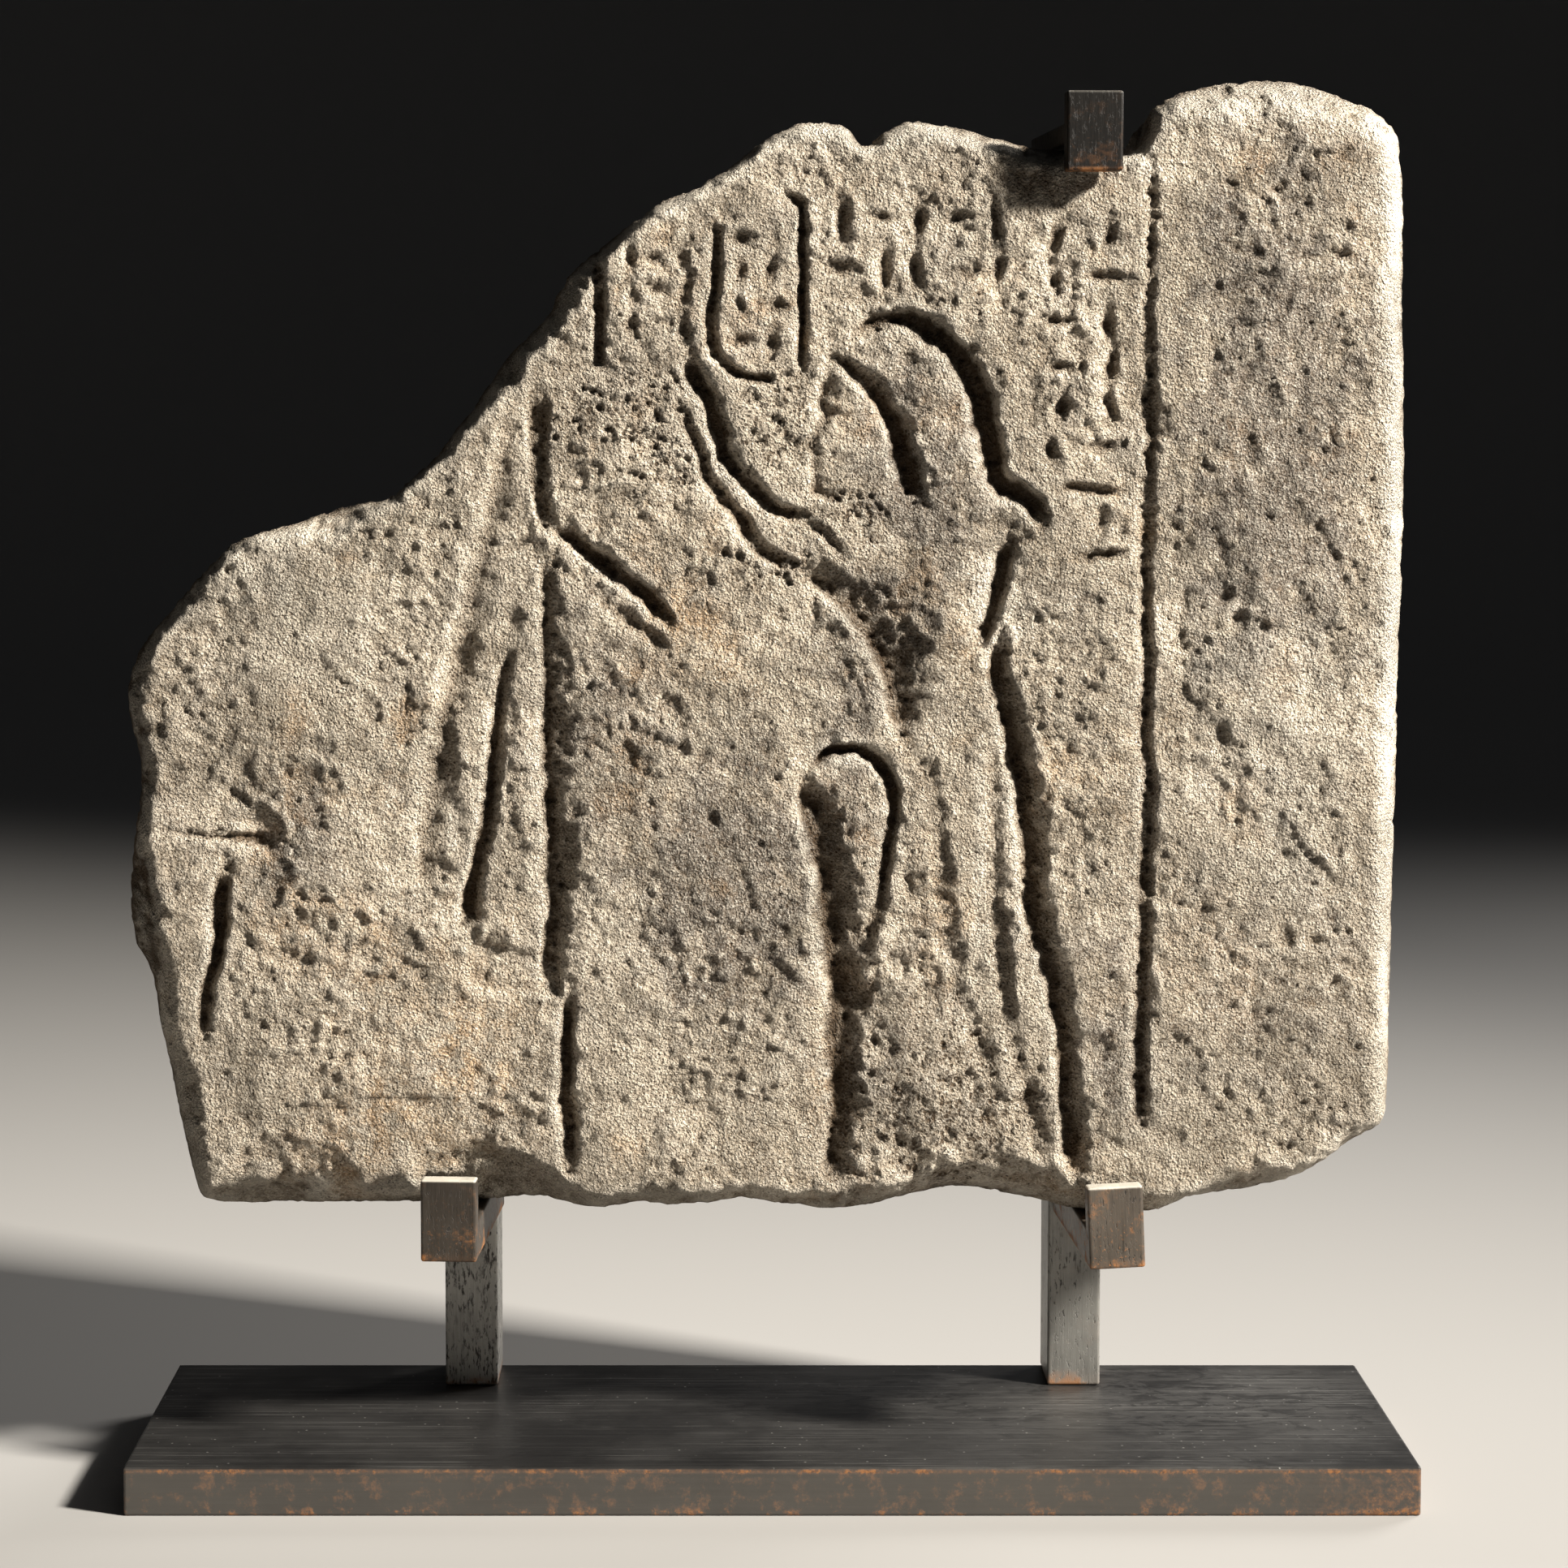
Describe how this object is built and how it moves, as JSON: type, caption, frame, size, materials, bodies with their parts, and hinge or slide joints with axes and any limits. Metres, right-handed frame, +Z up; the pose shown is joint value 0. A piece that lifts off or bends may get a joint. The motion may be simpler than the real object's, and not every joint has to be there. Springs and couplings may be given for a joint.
{
  "type": "carved stone stele on a steel stand",
  "caption": "Broken slab of ancient sunk relief, held upright by hooks on a steel stand with a flat base plate and square posts.",
  "frame": {"origin": "middle of the base plate's underside", "axes": "+Z up the slab, -Y out of its carved face towards the viewer, +X to the carved face's right-hand side"},
  "size_m": [0.5769, 0.166, 0.6336],
  "materials": {
    "stone": "weathered, matt",
    "plate_steel": "darkened, scratched and rusting at its edges",
    "post_steel": "mill scale, pitted",
    "hook_steel": "brushed, browned by rust"
  },
  "bodies": {
    "root": {"relief_slab": "stone", "base_plate": "plate_steel", "left_post": "post_steel", "right_post": "post_steel", "left_foot_hook": "hook_steel", "right_foot_hook": "hook_steel", "top_hook": "hook_steel"}
  },
  "joints": []
}
